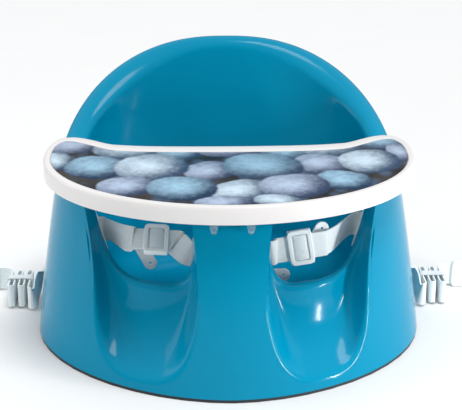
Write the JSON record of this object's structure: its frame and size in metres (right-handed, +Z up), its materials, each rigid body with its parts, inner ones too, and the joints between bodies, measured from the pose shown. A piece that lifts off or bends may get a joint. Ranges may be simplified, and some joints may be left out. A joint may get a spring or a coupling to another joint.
{
  "type": "chair booster seat",
  "caption": "Moulded booster seat for a dining chair: low backrest, two leg gutters, front pommel, lift-off tray on a peg, lap harness and chair straps.",
  "frame": {"origin": "middle of the base on the floor it stands on", "axes": "+Z up, -Y towards the front of the seat, +X towards the right-hand side of the picture"},
  "size_m": [0.574, 0.3502, 0.2747],
  "materials": {
    "blue_shell": "glossy moulded polypropylene",
    "dark_grip": "matt grip rubber",
    "white_tray": "glossy moulded plastic",
    "print_sheet": "satin printed sheet",
    "clear_plastic": "clear moulded plastic",
    "pale_fitting": "satin moulded acetal",
    "white_webbing": "ribbed woven webbing",
    "steel": "plated steel",
    "grey_button": "satin moulded plastic",
    "keeper_band": "knitted elastic"
  },
  "bodies": {
    "seat": {"seat_shell": "blue_shell", "base_ring": "dark_grip", "strap_plate_left": "pale_fitting", "strap_plate_right": "pale_fitting", "strap_plate_crotch": "pale_fitting", "lap_anchor_left": "pale_fitting", "lap_anchor_right": "pale_fitting", "crotch_anchor": "pale_fitting", "buckle_body": "pale_fitting", "tongue_left": "pale_fitting", "tongue_right": "pale_fitting", "chair_buckle_prong": "pale_fitting", "chair_buckle_socket": "pale_fitting", "lap_strap_left": "white_webbing", "lap_strap_right": "white_webbing", "crotch_strap": "white_webbing", "chair_strap_left": "white_webbing", "chair_strap_right": "white_webbing", "crotch_screw_left": "steel", "crotch_screw_right": "steel", "lap_screw_left_lower": "steel", "lap_screw_left_upper": "steel", "lap_screw_right_lower": "steel", "lap_screw_right_upper": "steel", "keeper_left": "keeper_band", "keeper_right": "keeper_band"},
    "tray": {"tray_top": "white_tray", "print_insert": "print_sheet", "tray_peg": "white_tray", "peg_screw_left": "steel", "peg_screw_right": "steel", "latch_housing": "white_tray", "tab_pin_left": "steel", "tab_pin_right": "steel", "housing_screw_left": "steel", "housing_screw_right": "steel"},
    "release_tab_left": {"release_tab_left": "clear_plastic"},
    "release_tab_right": {"release_tab_right": "clear_plastic"},
    "slider_left": {"slider_left": "pale_fitting"},
    "slider_right": {"slider_right": "pale_fitting"},
    "buckle_button": {"buckle_button": "grey_button"}
  },
  "joints": [
    {"name": "tray_lift", "type": "slide", "parent": "seat", "child": "tray", "axis": [0, -0.0993, 0.9951], "range_m": [0, 0.06]},
    {"name": "release_tab_left_swing", "type": "hinge", "parent": "tray", "child": "release_tab_left", "pos_m": [-0.0168, -0.15151, 0.17689], "axis": [-1, 0, 0], "range_deg": [0, 11], "stiffness_Nm_per_rad": 0.02, "springref_deg": -5.73},
    {"name": "release_tab_right_swing", "type": "hinge", "parent": "tray", "child": "release_tab_right", "pos_m": [0.0168, -0.15151, 0.17689], "axis": [-1, 0, 0], "range_deg": [0, 11], "stiffness_Nm_per_rad": 0.02, "springref_deg": -5.73},
    {"name": "slider_left_shift", "type": "slide", "parent": "seat", "child": "slider_left", "axis": [0.9982, 0, -0.0593], "range_m": [-0.004, 0.002]},
    {"name": "slider_right_shift", "type": "slide", "parent": "seat", "child": "slider_right", "axis": [0.9877, 0, 0.1566], "range_m": [-0.008, 0.006]},
    {"name": "buckle_button_press", "type": "slide", "parent": "seat", "child": "buckle_button", "axis": [0, 1, 0], "range_m": [0, 0.0025], "stiffness_N_per_m": 400, "springref_m": -0.002}
  ]
}
